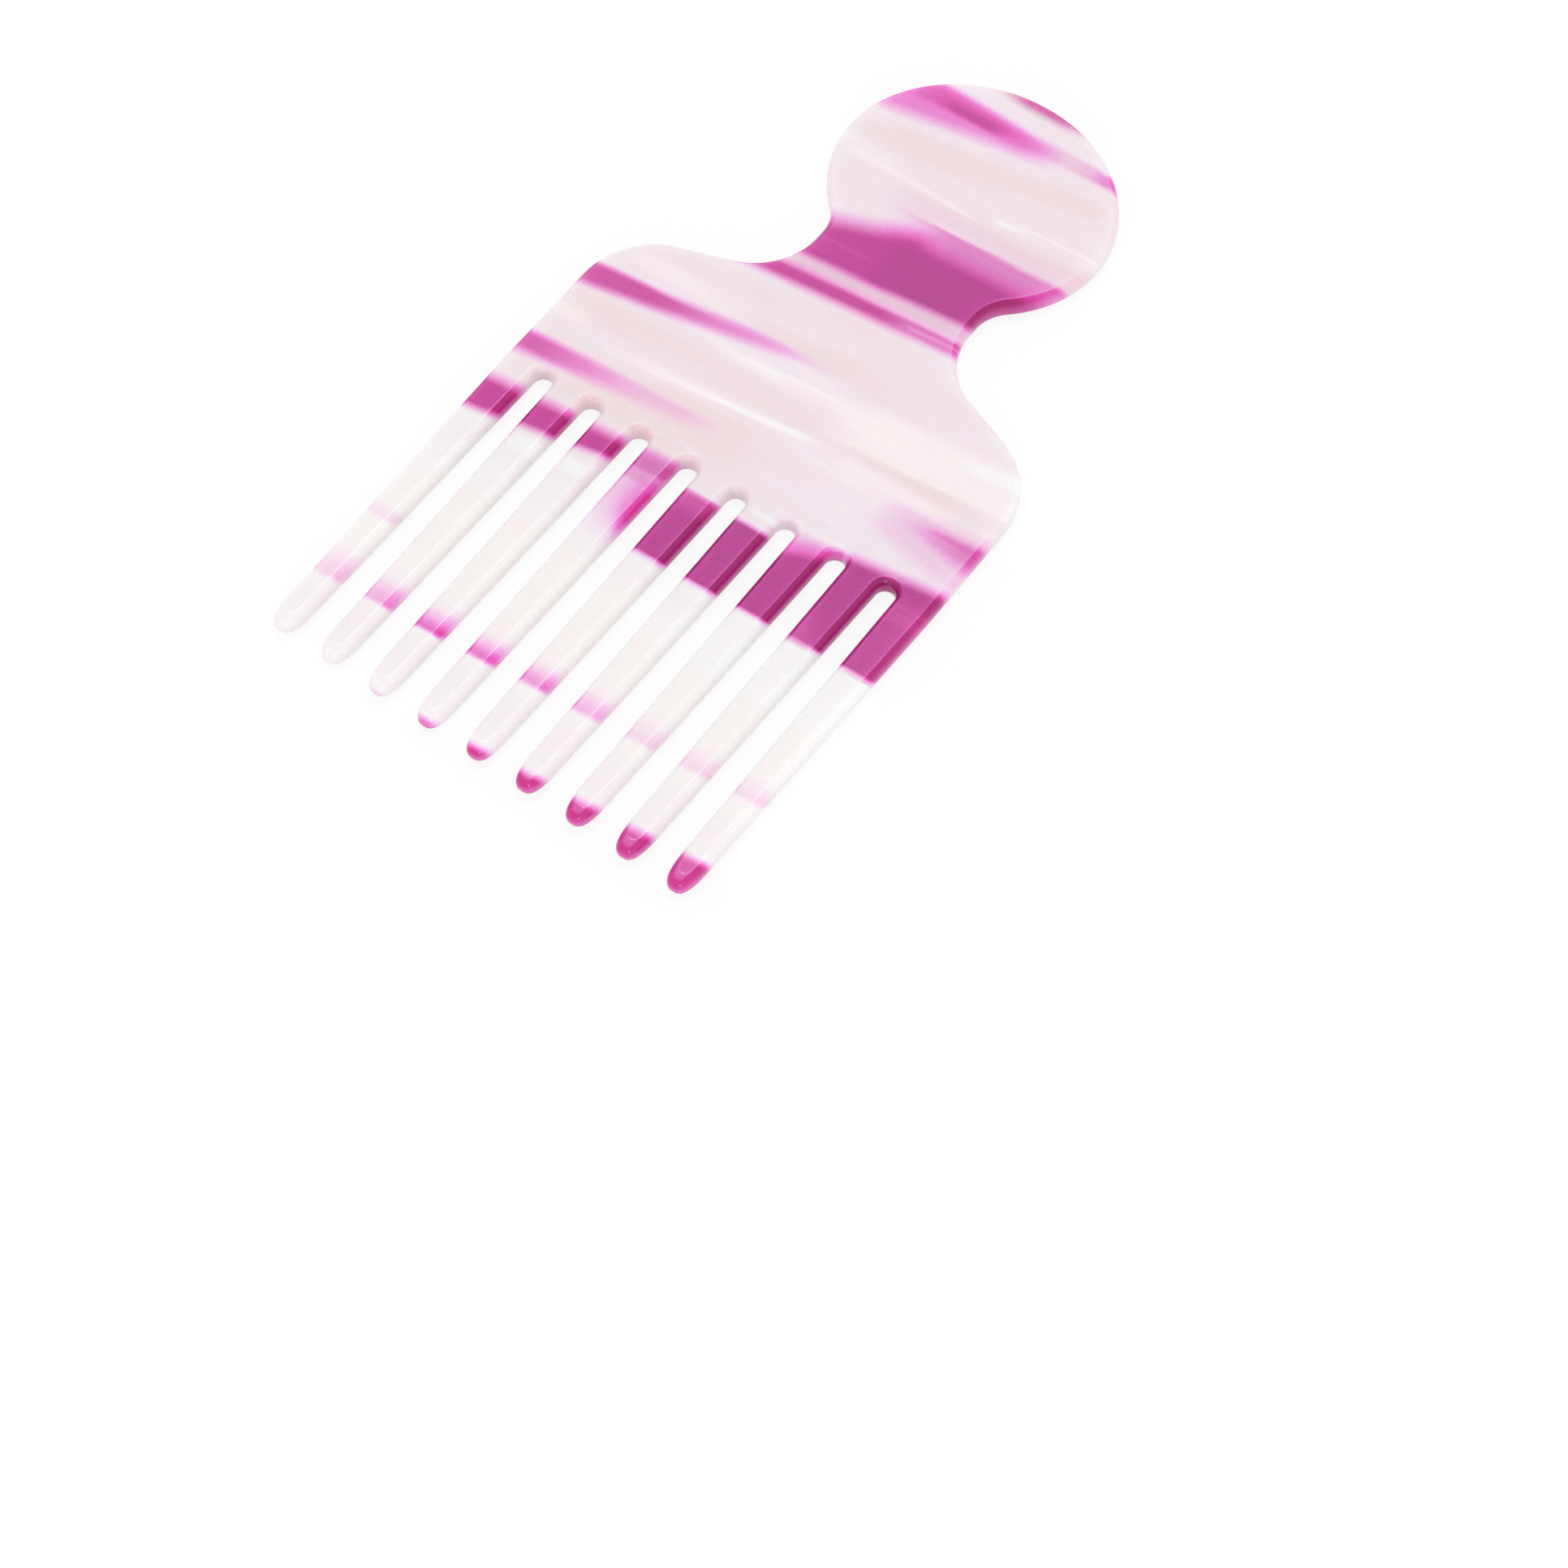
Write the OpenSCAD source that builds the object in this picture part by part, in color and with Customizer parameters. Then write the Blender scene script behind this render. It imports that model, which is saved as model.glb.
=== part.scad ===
// Wide-tooth hair comb cut from one flat sheet of marbled acetate.
// It lies flat on its back: X runs across the teeth, Y towards the grip head, Z up through the sheet.
// The origin is under the middle of the comb, on the surface that it lies on.

/* [Sheet] */
// Thickness of the sheet
sheet_t = 3.8; // [3:0.1:5]
// Width of the rounded edge, seen from above
edge_w = 1.1; // [0.6:0.05:1.5]
// Height of the upright band between the two rounded edges
edge_band = 0.35; // [0.2:0.05:1]

/* [Teeth] */
// Number of teeth
tooth_count = 9; // [5:1:13]
// Distance between the centre lines of two neighbouring teeth
tooth_pitch = 9; // [7.5:0.25:12]
// Width of a tooth at its root
tooth_root_w = 6; // [5:0.1:7]
// Width of a tooth where its rounded tip starts
tooth_tip_w = 4.5; // [3.6:0.1:5.6]
// Length of a tooth, from the end of the slot to the tip
tooth_len = 57.7; // [40:0.1:80]
// Length of the rounded tip
tip_len = 6.6; // [4:0.1:10]
// How blunt the tip is: 2 is an ellipse, more is squarer
tip_bluntness = 2.8; // [2:0.1:4]
// How much closer together two neighbouring tips are than their roots
tip_draw_in = 0.1; // [0:0.05:0.5]

/* [Shoulder plate] */
// Height of the straight sides above the ends of the slots
side_h = 18; // [12:0.2:30]
// Radius of the shoulders
shoulder_r = 13.4; // [8:0.1:18]
// Slope of the shoulders towards the sides, in degrees
shoulder_slope = 19.7; // [12:0.1:28]

/* [Neck] */
// Width of the neck where it is narrowest
neck_w = 29; // [22:0.5:36]
// Radius of the hollow between the neck and the shoulder
neck_low_r = 11.6; // [8:0.1:15]
// Length of the straight stretch in the middle of the neck
neck_straight = 1.5; // [0.6:0.1:6]
// Radius of the hollow between the neck and the head
neck_top_r = 6.9; // [5:0.1:10]

/* [Grip head] */
// Width of the head
head_w = 46.7; // [40:0.1:60]
// Height of the oval that the head is part of
head_h = 41.5; // [34:0.1:54]

/* [Hidden] */
// Facets along one hollow or shoulder, round one slot end, along half the oval, one rounded edge and one tip
arc_steps = 12;
slot_facets = 48;
head_steps = 30;
edge_steps = 4;
tip_steps = 6;
// Halvings that place the hollow against the oval
search_steps = 30;
// Size of the tip's last flat, as a share of the tooth's section
tip_flat_share = 0.05;
// How far a cut runs past the faces
overrun = 1;

// The rounded edge is an arc that leaves the upright band square and meets the flat face at a ridge.
// Its width is limited by its height, where the arc is a full quarter round.
edge_rise = (sheet_t - edge_band) / 2;
edge_fit_w = min(edge_w, edge_rise);
edge_sweep = 2 * atan(edge_fit_w / edge_rise);
edge_r = edge_rise / sin(edge_sweep);

// Slots and teeth: the slots end in half rounds, and each tooth starts where its slots turn straight
slot_r = (tooth_pitch - tooth_root_w) / 2;
tooth_centre = (tooth_count + 1) / 2;
slot_count = tooth_count - 1;
slot_centre = (slot_count + 1) / 2;
plate_half_w = (tooth_count - 1) / 2 * tooth_pitch + tooth_root_w / 2;

// Shoulder and lower hollow: one straight slope touches both, so the two radii share the width left
neck_half_w = neck_w / 2;
slope_lean = 1 - sin(shoulder_slope);
shoulder_room = (plate_half_w - neck_half_w) / slope_lean - neck_low_r;
shoulder_fit_r = min(shoulder_r, shoulder_room);
slope_start = [
    plate_half_w - shoulder_fit_r * slope_lean,
    side_h + shoulder_fit_r * cos(shoulder_slope)
];
low_hollow_x = neck_half_w + neck_low_r;
slope_run = slope_start.x + neck_low_r * sin(shoulder_slope) - low_hollow_x;
low_hollow_y = slope_start.y + slope_run * tan(shoulder_slope) + neck_low_r * cos(shoulder_slope);
seam_y = low_hollow_y + neck_straight / 2;

// Upper hollow and head: the hollow's arc touches the oval at one point, found by halving
head_half_w = head_w / 2;
head_half_h = head_h / 2;
top_hollow_x = neck_half_w + neck_top_r;
top_hollow_y = low_hollow_y + neck_straight;
touch_angle = oval_touch(-90, 0, search_steps);
touch_normal = oval_normal(touch_angle);
head_y = top_hollow_y - head_half_h * sin(touch_angle) - neck_top_r * touch_normal.y;

// Whole length, and the shift that puts the origin under the middle of it
top_y = head_y + head_half_h;
middle_y = (top_y - tooth_len) / 2;

PEARL = [0.95, 0.90, 0.90];
PALE_PEARL = [0.96, 0.94, 0.93];

function tooth_name(i) = str("tooth_", i);

// An oval's outward normal at an angle, and the angle at which the upper hollow touches the oval
function oval_normal(a) =
    let (n = [head_half_h * cos(a), head_half_w * sin(a)]) n / norm(n);
function oval_reach(a) = head_half_w * cos(a) + neck_top_r * oval_normal(a).x;
function oval_touch(low, high, steps) =
    let (mid = (low + high) / 2)
    steps == 0 ? mid
    : oval_reach(mid) < top_hollow_x ? oval_touch(mid, high, steps - 1)
    : oval_touch(low, mid, steps - 1);

// Outlines are lists of [x, y, normal x, normal y], with the material on the left.
// side is 1 on a bulge and -1 in a hollow.
function arc(centre, r, from, to, steps, side) = [
    for (j = [0 : steps])
        let (a = from + (to - from) * j / steps, n = [cos(a), sin(a)])
        [each (centre + r * n), each (side * n)]
];
function upright(x, y) = [[x, y, sign(x), 0]];
function mirrored(outline) = [
    for (i = [len(outline) - 1 : -1 : 0])
        let (p = outline[i])
        [-p[0], p[1], -p[2], p[3]]
];

function shoulder_side() = concat(
    arc([plate_half_w - shoulder_fit_r, side_h], shoulder_fit_r, 0, 90 - shoulder_slope, arc_steps, 1),
    arc([low_hollow_x, low_hollow_y], neck_low_r, 270 - shoulder_slope, 180, arc_steps, -1),
    upright(neck_half_w, seam_y)
);
function shoulder_outline() = concat(shoulder_side(), mirrored(shoulder_side()));

function head_oval() = [
    for (j = [1 : head_steps])
        let (a = touch_angle + (90 - touch_angle) * j / head_steps)
        [head_half_w * cos(a), head_y + head_half_h * sin(a), each oval_normal(a)]
];
function head_side() = concat(
    upright(neck_half_w, seam_y),
    arc([top_hollow_x, top_hollow_y], neck_top_r, 180,
        atan2(-touch_normal.y, -touch_normal.x), arc_steps, -1),
    head_oval()
);
function head_left() = let (side = mirrored(head_side())) [for (i = [1 : len(side) - 1]) side[i]];
function head_outline() = concat(head_side(), head_left());

// The sheet's edge from the bottom face to the top one, as [distance in from the outline, height]
function edge_point(j, z, up) =
    let (a = edge_sweep * j / edge_steps)
    [edge_r * (1 - cos(a)), z + up * edge_r * sin(a)];
edge_profile = concat(
    [for (j = [edge_steps : -1 : 0]) edge_point(j, edge_rise, -1)],
    [for (j = [0 : edge_steps]) edge_point(j, sheet_t - edge_rise, 1)]
);

// A closed skin over rings of n points. Each ring runs up its right side and down its left one, so
// strips from side to side close both ends, and an odd ring's last strip is a triangle at the top.
function strip(i, n) = i + 1 == n - 2 - i ? [i, i + 1, n - 1 - i] : [i, i + 1, n - 2 - i, n - 1 - i];
function reversed(list) = [for (i = [len(list) - 1 : -1 : 0]) list[i]];
function shifted(list, by) = [for (v = list) v + by];
module skin(rings) {
    n = len(rings[0]);
    last = (len(rings) - 1) * n;
    strips = [for (i = [0 : ceil(n / 2) - 2]) strip(i, n)];
    polyhedron(
        points = [for (ring = rings) each ring],
        faces = concat(
            strips,
            [for (k = [0 : n : last - n]) for (i = [0 : n - 1])
                [k + i, k + n + i, k + n + (i + 1) % n, k + (i + 1) % n]],
            [for (s = strips) reversed(shifted(s, last))]
        )
    );
}

// A region of the sheet: its outline drawn in and raised along the edge's profile
module sheet_region(outline) {
    translate([0, -middle_y, 0])
        skin([for (e = edge_profile)
            [for (p = outline) [p[0] - e[0] * p[2], p[1] - e[0] * p[3], e[1]]]]);
}

// The section across an edged strip of the sheet, up its right side and down its left one
function edged_section(half_w) = concat(
    [for (e = edge_profile) [half_w - e[0], e[1]]],
    [for (e = reversed(edge_profile)) [e[0] - half_w, e[1]]]
);

// A tooth's section, with its size about the sheet's middle set by a share
function tooth_section(x, y, half_w, size_share) = [
    for (p = edged_section(half_w))
        [x + p.x * size_share, y, sheet_t / 2 + (p.y - sheet_t / 2) * size_share]
];

// The tip shrinks to its end along a blunt curve, with both given as shares of their lengths
function tip_size_share(along_share) =
    max(tip_flat_share, pow(1 - pow(along_share, tip_bluntness), 1 / tip_bluntness));
function tip_sections(x) = [
    for (j = [0 : tip_steps])
        let (along_share = sin(90 * j / tip_steps))
        tooth_section(x, tip_len - tooth_len - tip_len * along_share, tooth_tip_w / 2,
            tip_size_share(along_share))
];
function tooth_skin(place) = concat(
    [tooth_section(place * tooth_pitch, -slot_r, tooth_root_w / 2, 1)],
    tip_sections(place * (tooth_pitch - tip_draw_in))
);

module grip_head() {
    color(PEARL) sheet_region(head_outline());
}

module shoulder() {
    color(PEARL) sheet_region(shoulder_outline());
}

// The back of the comb: a straight length of the edged sheet, with the round end of each slot cut in
module comb_back() {
    color(PEARL) translate([0, -middle_y, 0]) difference() {
        translate([0, side_h, 0]) rotate([90, 0, 0])
            linear_extrude(side_h + slot_r) polygon(edged_section(plate_half_w));
        for (i = [1 : slot_count])
            translate([(i - slot_centre) * tooth_pitch, -slot_r, 0]) slot_end();
    }
}

module slot_end() {
    rotate_extrude($fn = slot_facets)
        polygon(concat(
            [[0, -overrun], [slot_r + edge_fit_w, -overrun]],
            [for (e = edge_profile) [slot_r + e[0], e[1]]],
            [[slot_r + edge_fit_w, sheet_t + overrun], [0, sheet_t + overrun]]
        ));
}

module tooth(i) {
    color(PALE_PEARL) translate([0, -middle_y, 0]) skin(tooth_skin(i - tooth_centre));
}

grip_head();
shoulder();
comb_back();
for (i = [1 : tooth_count]) {
    tooth(i);
}
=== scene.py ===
import math

import bmesh
import bpy
from mathutils import Matrix, Vector


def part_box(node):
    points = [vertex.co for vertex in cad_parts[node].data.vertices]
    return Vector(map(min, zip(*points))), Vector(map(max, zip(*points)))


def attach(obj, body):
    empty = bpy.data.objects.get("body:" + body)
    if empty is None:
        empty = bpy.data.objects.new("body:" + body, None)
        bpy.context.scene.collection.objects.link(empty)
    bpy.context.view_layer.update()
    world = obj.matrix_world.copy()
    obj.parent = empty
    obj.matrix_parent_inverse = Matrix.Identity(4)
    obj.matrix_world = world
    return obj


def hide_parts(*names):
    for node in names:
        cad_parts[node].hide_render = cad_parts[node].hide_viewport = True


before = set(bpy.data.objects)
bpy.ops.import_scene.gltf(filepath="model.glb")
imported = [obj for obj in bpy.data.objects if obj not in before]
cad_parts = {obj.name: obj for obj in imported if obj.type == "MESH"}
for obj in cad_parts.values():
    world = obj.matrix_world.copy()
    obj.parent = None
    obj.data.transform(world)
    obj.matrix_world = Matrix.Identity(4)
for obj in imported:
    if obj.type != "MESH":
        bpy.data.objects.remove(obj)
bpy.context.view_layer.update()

# Camera. The photograph looks down on the comb from the front right, with the long lens of a
# product shot, and the whole square picture is taken in.
PHOTO_PX = 1932
SENSOR_MM = 36
PHOTO_FOCAL_PX = 4632.9
PHOTO_AZIMUTH = math.radians(36.484)
PHOTO_ELEVATION = math.radians(60.851)
CAMERA_PLACE = (0.19128, -0.25632, 0.46381)
NEAREST_SEEN = 0.01

camera_data = bpy.data.cameras.new("camera")
camera_data.sensor_width = SENSOR_MM
camera_data.lens = PHOTO_FOCAL_PX / PHOTO_PX * SENSOR_MM
camera_data.clip_start = NEAREST_SEEN
camera = bpy.data.objects.new("camera", camera_data)
camera.location = CAMERA_PLACE
camera.rotation_euler = (math.pi / 2 - PHOTO_ELEVATION, 0, PHOTO_AZIMUTH)
bpy.context.scene.collection.objects.link(camera)
bpy.context.scene.camera = camera

# Comb. The real one is a single piece of acetate: a router cuts its outline and its slots from flat
# sheet, and tumbling rounds every edge. So it is one closed skin: the outline is drawn for the right
# half, mirrored, filled and raised, and both faces are then drawn in step by step to round the edge.
TOOTH_COUNT = 9
EDGE_W = 0.0011
EDGE_BAND = 0.00035
TOOTH_TIP_W = 0.0045
TIP_LEN = 0.0066
TIP_BLUNTNESS = 2.8
TIP_DRAW_IN = 0.0001
SHOULDER_R = 0.0134
SHOULDER_SLOPE = math.radians(19.7)
NECK_W = 0.029
NECK_LOW_R = 0.0116
NECK_STRAIGHT = 0.0015
NECK_TOP_R = 0.0069
HEAD_H = 0.0415
# Width of the flat land inside each ridge, and gaps across which two points count as one
RIDGE_LAND = 0.0001
MIRROR_GAP = RIDGE_LAND / 10
MERGE_GAP = RIDGE_LAND / 100
# How many times its drawn length a tip ends up, and how upright the normal of a flat face is at least
TIP_DRAW_OUT = 2
FLAT_UP = 0.9
# Steps round one edge, slot end, shoulder, hollow, half head and half tip, and halvings of a search
EDGE_STEPS = 8
SLOT_STEPS = 24
SHOULDER_STEPS = 28
NECK_STEPS = 28
HEAD_STEPS = 72
TIP_STEPS = 18
SEARCH_STEPS = 30
QUARTER_TURN = math.pi / 2

tooth_low, tooth_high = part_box("tooth_1")
back_low, back_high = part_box("comb_back")
head_low, head_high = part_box("grip_head")
sheet_t = back_high.z
edge_rise = (sheet_t - EDGE_BAND) / 2
edge_sweep = 2 * math.atan(EDGE_W / edge_rise)
edge_r = edge_rise / math.sin(edge_sweep)

tooth_root_w = tooth_high.x - tooth_low.x
tooth_pitch = (2 * back_high.x - tooth_root_w) / (TOOTH_COUNT - 1)
root_y = back_low.y
tip_start_y = tooth_low.y + TIP_LEN
side_top_y = back_high.y

neck_half_w = NECK_W / 2
low_hollow = Vector((neck_half_w + NECK_LOW_R, head_low.y - NECK_STRAIGHT / 2))
top_hollow = Vector((neck_half_w + NECK_TOP_R, head_low.y + NECK_STRAIGHT / 2))
head_half_w = head_high.x
head_half_h = HEAD_H / 2
head_y = head_high.y - head_half_h


def oval_normal(angle):
    """The way in which the head's oval faces at one of its angles."""
    return Vector((head_half_h * math.cos(angle), head_half_w * math.sin(angle))).normalized()


def oval_touch():
    """The oval's angle at which the hollow above the neck touches it."""
    low, high = -QUARTER_TURN, 0.0
    for _ in range(SEARCH_STEPS):
        middle = (low + high) / 2
        reach = head_half_w * math.cos(middle) + NECK_TOP_R * oval_normal(middle).x
        low, high = (middle, high) if reach < top_hollow.x else (low, middle)
    return low


# The pen is the mesh's one selected point, and each stroke extrudes it
bpy.ops.object.select_all(action="DESELECT")
bpy.ops.mesh.primitive_plane_add(size=sheet_t, location=(0, 0, 0))
comb = bpy.context.object
comb.name = comb.data.name = "comb"
bpy.ops.object.mode_set(mode="EDIT")
bpy.ops.mesh.select_mode(type="VERT")
bpy.ops.mesh.select_all(action="SELECT")
bpy.ops.mesh.merge(type="CENTER")
pen = Vector((0, tip_start_y - TIP_LEN / TIP_DRAW_OUT))
bpy.ops.transform.translate(value=(pen.x, pen.y, edge_rise))


def draw_to(x, y):
    """Draws a straight stroke from the pen to a place."""
    global pen
    step = Vector((x, y)) - pen
    bpy.ops.mesh.extrude_vertices_move(TRANSFORM_OT_translate={"value": (step.x, step.y, 0)})
    pen = Vector((x, y))


def turn_about(centre, angle, steps):
    """Draws an arc from the pen round a centre, to the left for a positive angle."""
    global pen
    bpy.ops.mesh.spin(steps=steps, angle=-angle, use_auto_merge=False,
                      center=(centre[0], centre[1], edge_rise), axis=(0, 0, 1))
    arm = pen - Vector(centre)
    pen = Vector((centre[0] + arm.x * math.cos(angle) - arm.y * math.sin(angle),
                  centre[1] + arm.x * math.sin(angle) + arm.y * math.cos(angle)))


def draw_tip(x, side, steps):
    """One half of a tooth's rounded tip, short at first: it is drawn out to its length later."""
    for step in steps:
        along = math.sin(QUARTER_TURN * step / TIP_STEPS)
        across = (1 - along ** TIP_BLUNTNESS) ** (1 / TIP_BLUNTNESS)
        draw_to(x + side * across * TOOTH_TIP_W / 2, tip_start_y - along * TIP_LEN / TIP_DRAW_OUT)


# Half of the middle tooth, then the teeth to its right, with the round end of a slot between each two
for place in range(TOOTH_COUNT // 2 + 1):
    tip_x = place * (tooth_pitch - TIP_DRAW_IN)
    if place:
        draw_to(tip_x - TOOTH_TIP_W / 2, tip_start_y)
        draw_tip(tip_x, -1, range(1, TIP_STEPS + 1))
    draw_tip(tip_x, 1, range(TIP_STEPS - 1, -1, -1))
    draw_to(place * tooth_pitch + tooth_root_w / 2, root_y)
    if place < TOOTH_COUNT // 2:
        turn_about(((place + 0.5) * tooth_pitch, root_y), -2 * QUARTER_TURN, SLOT_STEPS)

# Side, shoulder, slope, neck and head, up to the middle of the top
draw_to(back_high.x, side_top_y)
shoulder_turn = QUARTER_TURN - SHOULDER_SLOPE
turn_about((back_high.x - SHOULDER_R, side_top_y), shoulder_turn, SHOULDER_STEPS)
draw_to(low_hollow.x - NECK_LOW_R * math.sin(SHOULDER_SLOPE),
        low_hollow.y - NECK_LOW_R * math.cos(SHOULDER_SLOPE))
turn_about(low_hollow, -shoulder_turn, SHOULDER_STEPS)
draw_to(neck_half_w, top_hollow.y)
touch = oval_touch()
turn_about(top_hollow, math.atan2(-oval_normal(touch).y, -oval_normal(touch).x) - math.pi, NECK_STEPS)
for step in range(1, HEAD_STEPS + 1):
    angle = touch + (QUARTER_TURN - touch) * step / HEAD_STEPS
    draw_to(head_half_w * math.cos(angle), head_y + head_half_h * math.sin(angle))
bpy.ops.object.mode_set(mode="OBJECT")

mirror = comb.modifiers.new("left half", "MIRROR")
mirror.merge_threshold = MIRROR_GAP
bpy.ops.object.modifier_apply(modifier=mirror.name)

bpy.ops.object.mode_set(mode="EDIT")
bpy.ops.mesh.select_all(action="SELECT")
bpy.ops.mesh.remove_doubles(threshold=MERGE_GAP)
bpy.ops.mesh.select_all(action="SELECT")
bpy.ops.mesh.edge_face_add()
bpy.ops.mesh.extrude_region_move(TRANSFORM_OT_translate={"value": (0, 0, EDGE_BAND)})
bpy.ops.mesh.select_all(action="SELECT")
bpy.ops.mesh.normals_make_consistent(inside=False)


def select_only(kind, wanted):
    """In edit mode, leaves only those of the comb's faces or points selected that pass the test."""
    mesh = bmesh.from_edit_mesh(comb.data)
    mesh.select_mode = {kind}
    for element in mesh.faces if kind == "FACE" else mesh.verts:
        element.select_set(wanted(element))
    mesh.select_flush_mode()
    bmesh.update_edit_mesh(comb.data)


# Each face of the sheet is drawn in along the edge's arc, and ends in a narrow flat land
for facing in (1, -1):
    select_only("FACE", lambda face: face.normal.z * facing > FLAT_UP)
    for step in range(EDGE_STEPS):
        start, end = (edge_sweep * share / EDGE_STEPS for share in (step, step + 1))
        bpy.ops.mesh.inset(
            thickness=edge_r * (math.cos(start) - math.cos(end)),
            depth=edge_r * (math.sin(end) - math.sin(start)))
    bpy.ops.mesh.inset(thickness=RIDGE_LAND, depth=0)

# The tips are drawn out to their length, so their ends are rounded wider than their sides
select_only("VERT", lambda point: point.co.y < tip_start_y - MERGE_GAP)
bpy.ops.transform.resize(value=(1, TIP_DRAW_OUT, 1), center_override=(0, tip_start_y, 0))
bpy.ops.object.mode_set(mode="OBJECT")
bpy.ops.object.shade_smooth()

# Marbled acetate. Pigments are folded through the pearly block, so each streak runs on across the
# plate, the slots and the teeth, and comes out on the bottom face. Places below are in millimetres.
ACETATE_IOR = 1.48
ACETATE_ROUGHNESS = 0.14
# How much light sinks in under the surface, how far in metres, and how that differs by colour
GLOW_SHARE = 1.0
GLOW_DEPTH = 0.006
GLOW_RADIUS = (1.0, 0.8, 0.9)
MM_PER_M = 1000
# Slope and stretch of the grain along the sheet, scale and height in mm of the wave in it, the lean of
# the folds through the thickness, and how fine the grains of pigment are, with their share in the colour
GRAIN_SLOPE = math.radians(7)
GRAIN_STRETCH = (0.022, 0.17, 0.1)
WAVE_SCALE = 2.5
WAVE_HEIGHT = 0.8
FOLD_LEAN = 0.45
GRAINS_PER_MM = 1.6
GRAINS_SHARE = 0.2
# Depth and brightness of the colour in the rounded edge (deeper pigment, partly painted shade), and how
# upright the normal stands where this darker colour starts, where it is full, and where it fades to the
# band
WALL_DEPTH_AND_SHADE = 1.8
WALL_GAIN = 1.14
WALL_START_UP = 0.95
WALL_FULL_UP = 0.85
WALL_FADE_UP = 0.7

acetate = bpy.data.materials.new("marbled_acetate")
acetate.use_nodes = True
comb.data.materials.append(acetate)
tree = acetate.node_tree
shader = tree.nodes["Principled BSDF"]


def add_node(owner, kind, **settings):
    """A node in the tree that owns it, with its settings, and values or links for its inputs.
    A Mix node's go by number, as names repeat in it: 1, 4 and 5 for vectors, 0, 6 and 7 for colours."""
    node = owner.nodes.new("ShaderNode" + kind)
    inputs = settings.pop("inputs", {})
    for name, value in settings.items():
        setattr(node, name, value)
    for name, value in inputs.items():
        if isinstance(value, bpy.types.NodeSocket):
            owner.links.new(value, node.inputs[name])
        else:
            node.inputs[name].default_value = value
    return node


def pigment(red, green, blue):
    """A colour as a screen shows it, from 0 to 255, turned into linear values by the sRGB curve."""
    shares = [value / 255 for value in (red, green, blue)]
    return [v / 12.92 if v <= 0.04045 else ((v + 0.055) / 1.055) ** 2.4 for v in shares] + [1]


# The sheet's own place in millimetres, with a slow wave along the grain so that no edge is ruled
sheet_place = add_node(tree, "VectorMath", operation="SCALE", inputs={
    0: add_node(tree, "TexCoord").outputs["Object"], "Scale": MM_PER_M}).outputs[0]
grain_place = add_node(tree, "Mapping", inputs={
    "Vector": sheet_place, "Rotation": (0, 0, -GRAIN_SLOPE), "Scale": GRAIN_STRETCH})
grain_wave = add_node(tree, "TexNoise", inputs={
    "Vector": grain_place.outputs[0], "Scale": WAVE_SCALE, "Detail": 2, "Roughness": 0.5})
wave_offset = add_node(tree, "VectorMath", operation="MULTIPLY_ADD", inputs={
    0: grain_wave.outputs["Color"], 1: (0, WAVE_HEIGHT, 0), 2: (0, -WAVE_HEIGHT / 2, 0)})
streak_place = add_node(tree, "SeparateXYZ", inputs={
    0: add_node(tree, "VectorMath", operation="ADD", inputs={
        0: sheet_place, 1: wave_offset.outputs[0]}).outputs[0]}).outputs
# The folds lean through the thickness, so a streak meets the bottom face a little nearer the head
lean_offset = add_node(tree, "Math", operation="MULTIPLY_ADD", inputs={
    0: streak_place["Z"], 1: FOLD_LEAN, 2: -FOLD_LEAN * sheet_t * MM_PER_M}).outputs[0]
across = streak_place["X"]
along = add_node(tree, "Math", operation="ADD", inputs={
    0: streak_place["Y"], 1: lean_offset}).outputs[0]

PEARL = pigment(232, 222, 224)
SAND = pigment(231, 218, 219)
LILAC = pigment(232, 224, 229)
MILK = pigment(242, 234, 233)
SNOW = pigment(241, 242, 242)
ICE = pigment(240, 237, 240)
BLUSH = pigment(224, 199, 213)
PETAL = pigment(230, 178, 211)
ORCHID = pigment(226, 140, 206)
PINK = pigment(217, 140, 196)
HOT_PINK = pigment(212, 103, 178)
ROSE = pigment(201, 83, 163)
CERISE = pigment(196, 73, 159)
MAGENTA = pigment(186, 70, 151)
FUCHSIA = pigment(214, 70, 170)
DRIFT_STOPS = ((0.34, SAND), (0.46, PEARL), (0.58, LILAC), (0.76, MILK))

# Under the streaks the pearl itself drifts between sand, lilac and milk along the grain
drift = add_node(tree, "TexNoise", inputs={
    "Vector": grain_place.outputs[0], "Scale": 1, "Detail": 4, "Roughness": 0.5})
drift_ramp = add_node(tree, "ValToRGB", inputs={0: drift.outputs["Fac"]})
stops = drift_ramp.color_ramp.elements
for stop, (share, colour) in enumerate(DRIFT_STOPS):
    mark = stops[stop] if stop < len(stops) else stops.new(share)
    mark.position = share
    mark.color = colour
marbling = drift_ramp.outputs["Color"]


def ramp(owner, value, start, full):
    """Rises smoothly from 0 to 1 between two places, which stand the other way round for a fall.
    It holds its ends by itself, and a clamp in every streak would be too much for the renderer."""
    return add_node(owner, "MapRange", interpolation_type="SMOOTHSTEP", clamp=False, inputs={
        "Value": value, "From Min": start, "From Max": full}).outputs[0]


def times(owner, one, other):
    """One value times another."""
    return add_node(owner, "Math", operation="MULTIPLY", inputs={0: one, 1: other}).outputs[0]


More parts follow.
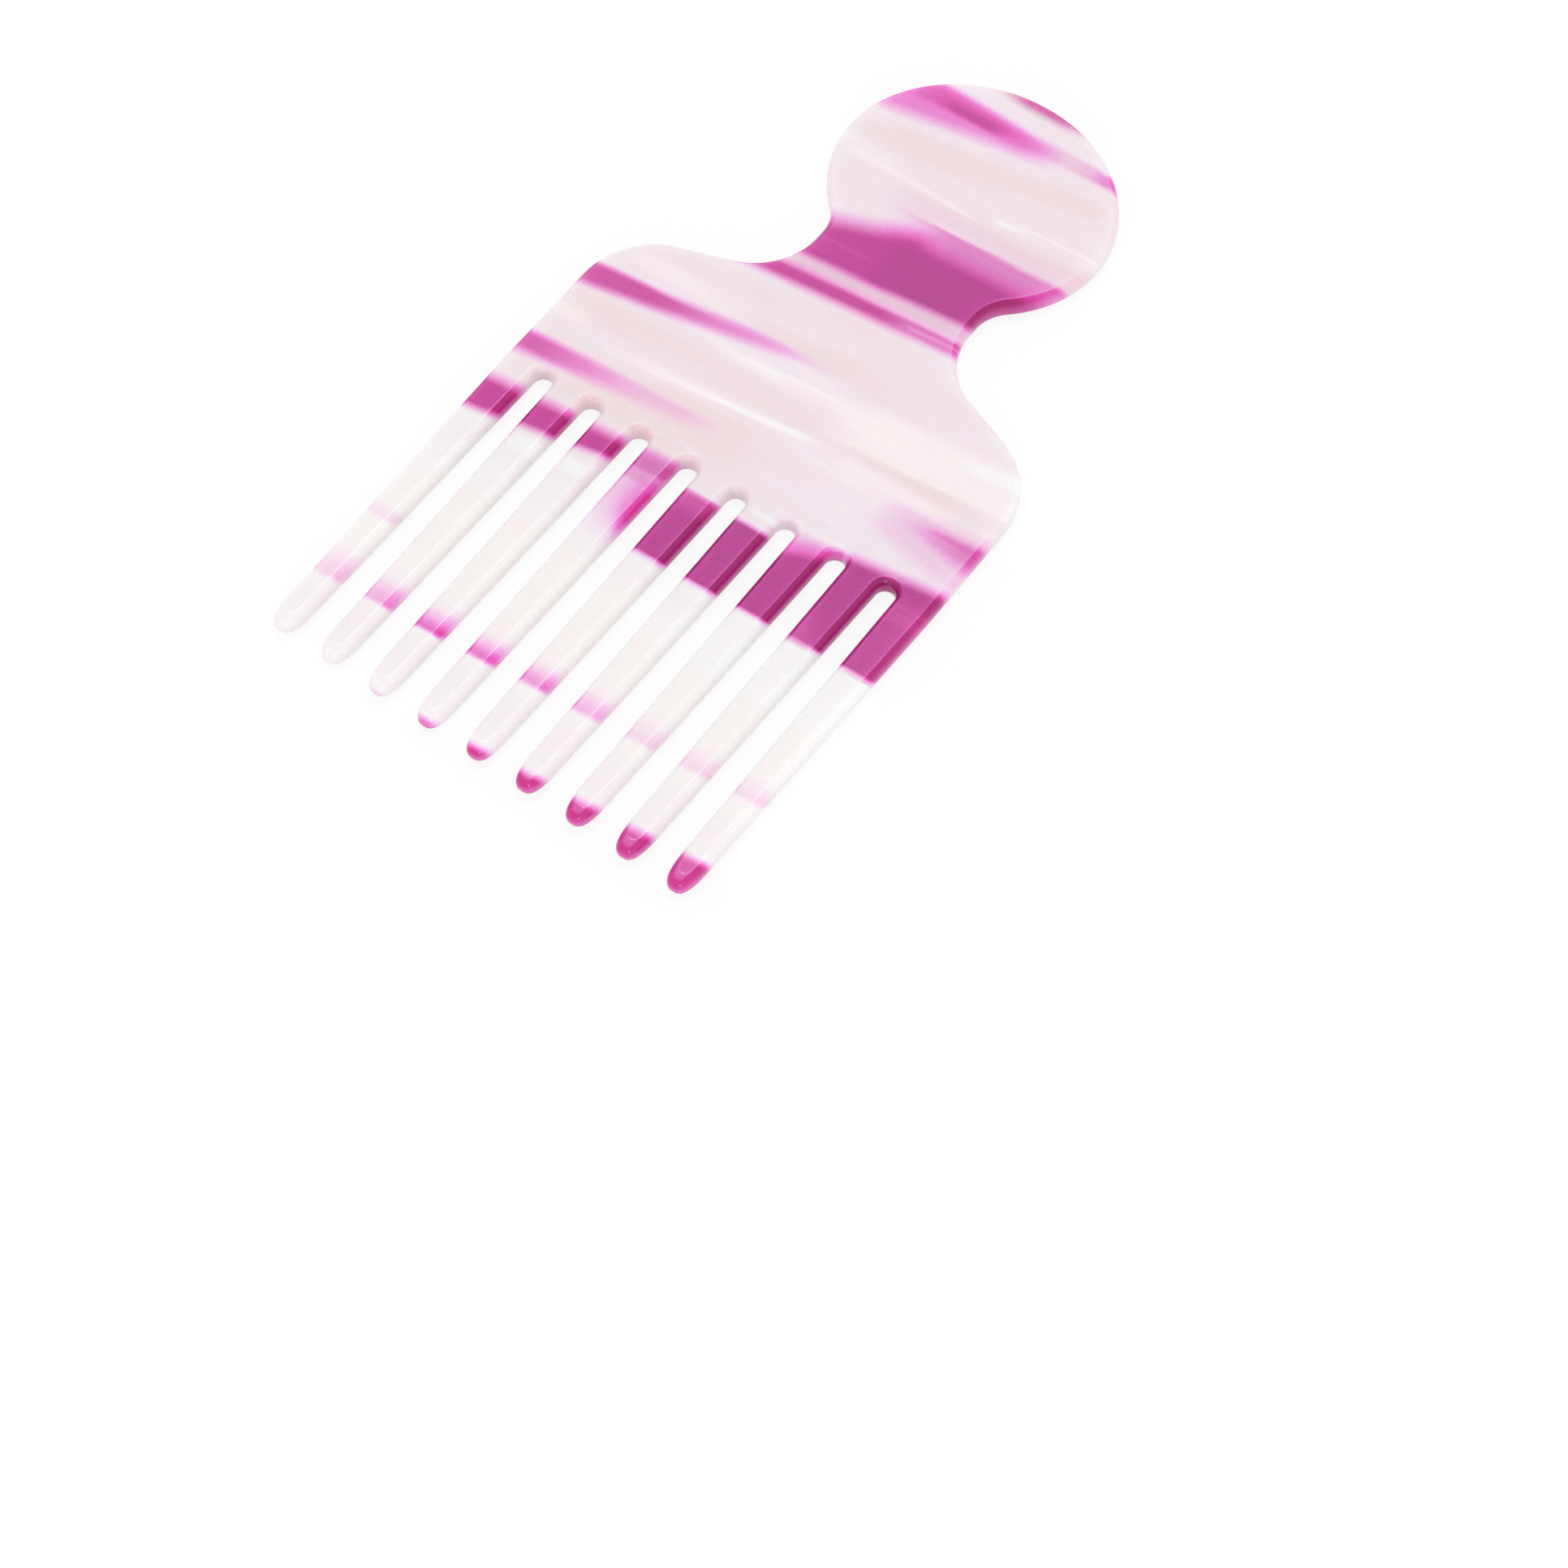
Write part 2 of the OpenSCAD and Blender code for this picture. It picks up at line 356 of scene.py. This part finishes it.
def make_streak_group(ends, dyed):
    """Mixes a pigment into the marbling, between two soft sides and, if it has them, two ends.
    A dye takes green out first, then blue and red, so that its soft sides are a clear pink."""
    group = bpy.data.node_groups.new("streak", "ShaderNodeTree")
    names = ["Across", "Along", "Strength", "Low Slope", "High Slope"]
    names += [edge + part for edge in ("Low", "High", *ends) for part in (" Start", " Full")]
    for name in names:
        group.interface.new_socket(name, in_out="INPUT", socket_type="NodeSocketFloat")
    for name in ("Marbling", "Pigment"):
        group.interface.new_socket(name, in_out="INPUT", socket_type="NodeSocketColor")
    group.interface.new_socket("Marbling", in_out="OUTPUT", socket_type="NodeSocketColor")
    given = group.nodes.new("NodeGroupInput").outputs
    mask = given["Strength"]
    for edge in ("Low", "High", *ends):
        place = given["Across"]
        if edge in ("Low", "High"):
            place = add_node(group, "Math", operation="MULTIPLY_ADD", inputs={
                0: given["Across"], 1: given[edge + " Slope"], 2: given["Along"]}).outputs[0]
        inside = ramp(group, place, given[edge + " Start"], given[edge + " Full"])
        mask = times(group, mask, inside)
    blue_mask = times(group, mask, mask) if dyed else mask
    red_mask = times(group, blue_mask, mask) if dyed else mask
    masks = add_node(group, "CombineXYZ", inputs={0: red_mask, 1: mask, 2: blue_mask}).outputs[0]
    mixed = add_node(group, "Mix", data_type="VECTOR", factor_mode="NON_UNIFORM", clamp_factor=False,
                     inputs={1: masks, 4: given["Marbling"], 5: given["Pigment"]}).outputs[1]
    group.links.new(mixed, group.nodes.new("NodeGroupOutput").inputs[0])
    return group


STREAK_ENDS = ((), ("Left",), ("Right",), ("Left", "Right"))
streak_groups = {(ends, dyed): make_streak_group(ends, dyed)
                 for ends in STREAK_ENDS for dyed in (False, True)}


def fold_in(dyed, colour, left, right, blur, fade=(0, 0), strength=1.0):
    """Folds a streak in between two straight sides. Each end gives x and the y of the lower and the
    upper side. Blur is the soft width of these sides, and fade the length of each end, if it has one."""
    global marbling
    values = {"Across": across, "Along": along, "Strength": strength,
              "Marbling": marbling, "Pigment": colour}
    for edge, left_y, right_y, soft in zip(("Low", "High"), left[1:], right[1:], (blur[0], -blur[1])):
        slope = (right_y - left_y) / (right[0] - left[0])
        start = left_y - slope * left[0]
        values.update({edge + " Slope": -slope, edge + " Start": start, edge + " Full": start + soft})
    ends = ()
    for edge, x, length in (("Left", left[0], fade[0]), ("Right", right[0], -fade[1])):
        if length:
            ends += (edge,)
            values.update({edge + " Start": x, edge + " Full": x + length})
    group = streak_groups[ends, dyed]
    marbling = add_node(tree, "Group", node_tree=group, inputs=values).outputs[0]


def streak(*fold):
    """A dye, whose soft sides glow pink."""
    fold_in(True, *fold)


def vein(*fold):
    """A pigment that mixes evenly with what it meets."""
    fold_in(False, *fold)


# Head: a pink fold with a darker core, and a crescent on the crown
vein(SAND, (-14, 50, 55), (20, 56.5, 62.5), (2, 2), (6, 3), 0.7)
vein(LILAC, (-22, 52.5, 57), (20, 60.3, 64.5), (2, 1.5), (2, 5), 0.8)
vein(MILK, (-22, 45, 48.3), (3, 46, 47.9), (1.3, 1.3), (4, 4), 0.5)
vein(SNOW, (5, 47.4, 49.3), (13, 48.7, 50.1), (0.8, 0.8), (2, 5), 0.6)
vein(SNOW, (-3, 46.1, 47.1), (5, 46.4, 47.3), (0.5, 0.5), (1.5, 1.5), 0.5)
vein(MILK, (8, 49, 50.5), (24, 50.1, 51.6), (0.7, 0.7), (3, 1), 0.5)
vein(ROSE, (-11, 68.4, 80), (11, 68.4, 80), (2.3, 0.1), (9, 8), 0.95)
streak(BLUSH, (1, 62.4, 66.8), (19, 62.6, 66.8), (1.2, 1.2), (4, 0), 0.8)
streak(PETAL, (8, 62.8, 66.3), (19, 63.1, 66.3), (1, 1.2), (7, 0), 0.8)
streak(HOT_PINK, (12.5, 63.3, 66), (19, 63.5, 66.2), (0.9, 0.9), (3.5, 0), 0.65)
streak(ORCHID, (-24, 54.4, 67.2), (10, 61, 66.4), (3.6, 2.3), (0, 9))
streak(HOT_PINK, (-22, 59.4, 66.5), (8, 62.2, 66.3), (2.4, 2.6), (5, 12), 0.85)
streak(ROSE, (-17, 60.7, 64.8), (1, 61.4, 65.4), (1.5, 1.8), (5, 6), 0.8)
vein(MAGENTA, (-14, 61.3, 63.7), (-2, 61.5, 64.3), (0.9, 1.1), (4, 4), 0.5)

# Neck: the broad magenta fold, then a pale band and a second fold under it
vein(BLUSH, (-12, 40, 46.5), (24, 43, 49.5), (1, 3), (8, 0), 0.45)
streak(PINK, (-9, 33, 42.3), (24, 35, 44.4), (1, 1.3), (14, 0))
vein(HOT_PINK, (-2, 41.3, 42.2), (16, 43.1, 43.9), (0.3, 0.3), (3, 8), 0.3)
streak(BLUSH, (-20, 22.5, 27), (20, 27, 31), (1, 1))
streak(CERISE, (-16, 24.4, 36.4), (4, 26.9, 43.9), (2.3, 5.6), (0, 6))
streak(MAGENTA, (-9, 25.3, 40.4), (22, 29.1, 42.6), (2.3, 5.2), (8, 0))
vein(HOT_PINK, (-16, 29.2, 31), (-2, 30.7, 32), (0.8, 0.6), (0, 6), 0.3)
vein(HOT_PINK, (-16, 26.8, 30), (-7, 27.6, 30.5), (1, 1), (0, 7), 0.2)
streak(ROSE, (-20, 18.1, 24), (20, 23.3, 27.9), (2.5, 2))
vein(ORCHID, (2, 22.4, 25), (17, 24, 26.4), (0.8, 0.8), (6, 0), 0.7)
vein(PETAL, (5.5, 23.4, 24.5), (16, 24.8, 25.7), (0.4, 0.4), (3, 0), 0.5)

# Plate: two folds that taper away from the left side, one from the right, and milky veins
vein(MILK, (-36, 8.4, 12.5), (-12, 9.5, 15), (1.5, 2), (4, 6), 0.4)
vein(LILAC, (-22, 9.5, 13), (2, 12.5, 17.5), (1, 2), (5, 6), 0.7)
vein(SAND, (-14, 8, 13), (8, 10.5, 16), (2, 2), (6, 5), 0.7)
vein(SAND, (-14, -2.8, 4), (12, 0.5, 6.5), (1, 1.5), (6, 5), 0.5)
vein(SAND, (-24, -14, -6.5), (2, -13, -3.5), (1.5, 1.5), (6, 4), 0.7)
vein(MILK, (4, 0.2, 10), (40, 4, 14), (0.8, 3), (13, 0), 0.7)
vein(SNOW, (26, 7, 10), (40, 9, 13), (1.2, 1), (5, 0), 0.55)
vein(MILK, (10, -3.4, 0.2), (34, -2, 1.4), (1.2, 1.2), (5, 6), 0.5)
vein(SNOW, (-14, 3.5, 5.3), (10, 6.7, 8.3), (0.8, 0.8), (7, 6), 0.45)
vein(MILK, (-30, -7.6, -4.4), (12, -1.6, 0.6), (1.2, 1.2), (14, 5), 0.6)
vein(SNOW, (-22, -6.2, -4.6), (8, -1.6, 0), (0.8, 0.8), (16, 3), 0.7)
vein(MILK, (-40, -5.5, -2), (-30, -5, -2), (1, 1), (0, 6), 0.5)
streak(ROSE, (-40, 0, 6.8), (10, 10.7, 12.9), (2.6, 1.9), (0, 40))
streak(PINK, (-20, 6.2, 9.6), (2, 9.8, 12), (1.2, 1.2), (8, 12), 0.5)
vein(ORCHID, (-26, 3.8, 9), (-2, 8.2, 12.1), (1.5, 1.5), (9, 12), 0.3)
vein(HOT_PINK, (-40, 0.4, 6.6), (-22, 4.4, 8.6), (2, 1.6), (0, 5), 0.4)
streak(PETAL, (-40, -15.4, -8.9), (-2, -9.8, -6), (2.8, 1.7), (0, 10), 0.65)
streak(ROSE, (-40, -15.4, -9.2), (-15, -11.8, -7.1), (2.8, 1.7), (0, 24))
vein(ORCHID, (-40, -15.4, -9.2), (-20, -12.4, -7.6), (2.8, 1.7), (0, 10), 0.25)
vein(LILAC, (18, -14, -4), (40, -13, -4), (2, 2), (1.5, 0))
streak(BLUSH, (21, -9, -1.8), (40, -12, 1.4), (3, 2.4), (5, 0), 0.75)
streak(PINK, (25, -5.7, -2.3), (40, -8, -0.4), (2.2, 2.2), (8, 0), 0.75)
vein(ROSE, (31, -5.4, -2.1), (41, -6.2, -1.2), (1.5, 1.4), (8, 0), 0.45)
streak(ROSE, (29, -4, -2.9), (40, -3.9, -2.3), (0.5, 0.6), (4, 3), 0.4)

# Roots of the teeth: one fold under the left four, a broader one under the right five
vein(MILK, (-40, -95, -30), (40, -95, -27), (1, 12))
vein(ICE, (4, -42.8, -29), (40, -41.6, -28), (0.3, 0.5), (14, 0), 0.8)
vein(SNOW, (-40, -40, -26.5), (-30.5, -39, -25), (3, 1.5), (0, 0), 0.35)
vein(SNOW, (-29, -28.6, -25.2), (-24, -28.4, -24.8), (0.5, 0.8), (0.8, 0.1), 0.5)
vein(SNOW, (-20, -27.6, -24.2), (-16, -27.2, -24), (1, 0.8), (0.5, 1), 0.7)
vein(SNOW, (6.5, -17, -14.9), (13.5, -16.8, -14.7), (0.8, 0.8), (2, 0.1), 0.5)
streak(CERISE, (-40, -27.7, -18.4), (-5, -20.4, -14.8), (2, 3.1), (0, 0.1))
streak(PETAL, (-12, -35, -19.5), (-5, -37, -19.5), (12, 1), (0.1, 0.1), 0.8)
vein(PINK, (-13, -23, -14.9), (-5, -22.5, -14.6), (1.2, 3), (2, 0.1), 0.65)
streak(FUCHSIA, (-10.4, -29, -20.5), (-5, -34, -20), (5, 3), (5.4, 0.1))
streak(PETAL, (-4.5, -32.9, -29), (40, -30.1, -27), (1.3, 0.5), (0.1, 0), 0.8)
streak(MAGENTA, (-4.5, -32.1, -18.4), (13.6, -31.05, -17.5), (0.9, 1.4), (0.1, 0.1))
streak(PETAL, (13.6, -24, -14.6), (24, -24, -13), (1, 1.6), (0.1, 0.5), 0.8)
streak(HOT_PINK, (13.6, -24, -16), (23, -24, -13.5), (1, 1.8), (0.1, 0.5), 0.6)
streak(MAGENTA, (13.6, -31.1, -18), (23, -30.6, -13.4), (0.9, 3.2), (0.1, 0.5))
streak(MAGENTA, (23.2, -30.6, -12.3), (40, -29.6, -9.5), (0.9, 3.3), (1.2, 0))
vein(HOT_PINK, (22.5, -31.5, -20), (31, -31, -28), (1, 5), (0.5, 5), 0.5)
vein(HOT_PINK, (-4.5, -23.5, -18.2), (4.5, -23, -18), (3.5, 0.8), (0.1, 2), 0.6)
vein(HOT_PINK, (31.5, -17.3, -16.1), (40, -17.1, -15.9), (0.4, 0.4), (0.1, 0), 0.25)
vein(HOT_PINK, (31.5, -19.8, -17.2), (40, -19.6, -17), (0.6, 0.6), (0.1, 0), 0.3)
vein(HOT_PINK, (30, -31, -15), (40, -30, -14), (0.1, 2), (8, 0), 0.3)

# Teeth: faint pink bands lower down, and tips that dip into a last fold
streak(BLUSH, (-40, -50, -46.6), (-30, -49.5, -46.4), (1.1, 1.6), (0, 2), 0.5)
vein(LILAC, (-40, -95, -62), (40, -95, -57), (1, 3), (0, 0), 0.4)
streak(BLUSH, (-40, -62.9, -55.4), (40, -55.7, -49.8), (1.5, 5.5), (0, 0), 0.7)
streak(PINK, (-38, -62.6, -56.8), (18, -57.7, -53), (1.4, 4.6), (18, 16), 0.85)
streak(HOT_PINK, (-25, -61.5, -58.1), (2, -59.1, -56), (1.2, 2.6), (6, 12), 0.8)
streak(ROSE, (-26, -85, -72.8), (40, -85, -65.5), (0.1, 2.1), (4, 0), 0.96)

# Fine grains of pigment make the surface lively from close by
grains = add_node(tree, "TexNoise", inputs={
    "Vector": sheet_place, "Scale": GRAINS_PER_MM, "Detail": 3, "Roughness": 0.6})
marbling = add_node(tree, "Mix", data_type="RGBA", blend_type="SOFT_LIGHT", inputs={
    0: GRAINS_SHARE, 6: marbling, 7: grains.outputs["Fac"]}).outputs[2]

# The rounded edge takes a deeper, darker colour than the flat faces: partly the greater depth of pigment
# seen into the edge, partly painted shade for the lesser light that falls on the sides
normal = add_node(tree, "SeparateXYZ", inputs={0: add_node(tree, "NewGeometry").outputs["Normal"]})
upright = add_node(tree, "Math", operation="ABSOLUTE", inputs={0: normal.outputs["Z"]})
wall_shade_share = times(tree, ramp(tree, upright.outputs[0], WALL_START_UP, WALL_FULL_UP),
                   ramp(tree, upright.outputs[0], 0, WALL_FADE_UP))
lifted = add_node(tree, "VectorMath", operation="SCALE", inputs={0: marbling, "Scale": WALL_GAIN})
# Painted shade in part: this gamma darkens the edge's colour
deep_and_shaded = add_node(tree, "Gamma", inputs={"Color": lifted.outputs[0], "Gamma": WALL_DEPTH_AND_SHADE})
seen = add_node(tree, "Mix", data_type="RGBA", inputs={
    0: wall_shade_share, 6: marbling, 7: deep_and_shaded.outputs[0]})
tree.links.new(seen.outputs[2], shader.inputs["Base Color"])
shader.inputs["Roughness"].default_value = ACETATE_ROUGHNESS
shader.inputs["IOR"].default_value = ACETATE_IOR
shader.inputs["Subsurface Weight"].default_value = GLOW_SHARE
shader.inputs["Subsurface Radius"].default_value = GLOW_RADIUS
shader.inputs["Subsurface Scale"].default_value = GLOW_DEPTH

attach(comb, "root")
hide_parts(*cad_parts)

# Floor and light. A pale sheet of paper lies under the comb, a broad soft light hangs over it, and a
# small one in front fills its walls. To the camera and in reflections the paper is lifted to white,
# and it keeps the comb's soft shadow.
FLOOR_SIZE = 6
PAPER_WHITE = 0.96
PAPER_LIFT = 0.88
SKY_SIDE = 0.8
SKY_TOP = 0.735
SKY_TURN_LOW = 0.35
SKY_TURN_HIGH = 0.8

bpy.ops.object.select_all(action="DESELECT")
bpy.ops.mesh.primitive_plane_add(size=FLOOR_SIZE, location=(0, 0, 0))
floor = bpy.context.object
floor.name = floor.data.name = "floor"
paper = bpy.data.materials.new("paper")
paper.use_nodes = True
floor.data.materials.append(paper)
paper_tree = paper.node_tree
paper_shader = paper_tree.nodes["Principled BSDF"]
paper_shader.inputs["Base Color"].default_value = (PAPER_WHITE, PAPER_WHITE, PAPER_WHITE, 1)
paper_shader.inputs["Roughness"].default_value = 1
paper_shader.inputs["Specular IOR Level"].default_value = 0
ray = add_node(paper_tree, "LightPath").outputs
seen_directly = add_node(paper_tree, "Math", operation="MAXIMUM", inputs={
    0: ray["Is Camera Ray"], 1: ray["Is Glossy Ray"]})
lift = add_node(paper_tree, "Math", operation="MULTIPLY", inputs={
    0: seen_directly.outputs[0], 1: PAPER_LIFT})
white = add_node(paper_tree, "Emission", inputs={"Color": (1, 1, 1, 1), "Strength": 1.0})
paper_mix = add_node(paper_tree, "MixShader", inputs={
    0: lift.outputs[0], 1: paper_shader.outputs[0], 2: white.outputs[0]})
paper_tree.links.new(paper_mix.outputs[0], paper_tree.nodes["Material Output"].inputs["Surface"])

world = bpy.data.worlds.new("studio")
bpy.context.scene.world = world
world.use_nodes = True
sky = world.node_tree
height = add_node(sky, "SeparateXYZ", inputs={0: add_node(sky, "TexCoord").outputs["Generated"]})
sky_strength = add_node(sky, "MapRange", interpolation_type="SMOOTHSTEP", inputs={
    "Value": height.outputs["Z"], "From Min": SKY_TURN_LOW, "From Max": SKY_TURN_HIGH,
    "To Min": SKY_SIDE, "To Max": SKY_TOP})
sky.links.new(sky_strength.outputs[0], sky.nodes["Background"].inputs["Strength"])
sky.nodes["Background"].inputs["Color"].default_value = (1, 1, 1, 1)
bpy.context.scene.view_settings.view_transform = "Standard"


def hang_softbox(name, place, long_way, length, width, watts):
    """An oval softbox that faces the comb, with its long side turned towards one direction."""
    bpy.ops.object.light_add(type="AREA", location=place)
    lamp = bpy.context.object
    lamp.name = name
    lamp.data.shape = "ELLIPSE"
    lamp.data.size, lamp.data.size_y = length, width
    lamp.data.energy = watts
    backward = Vector(place).normalized()
    sideways = backward.cross(Vector(long_way)).normalized()
    lamp.rotation_euler = Matrix((sideways.cross(backward), sideways, backward)).transposed().to_euler()


hang_softbox("overhead_softbox", place=(-0.12, 0.25, 1.17), long_way=(1, 1, 0),
             length=0.74, width=0.38, watts=3.7)
hang_softbox("front_fill", place=(0.42, -0.62, 0.32), long_way=(1, 1, 0),
             length=0.24, width=0.24, watts=0.7)
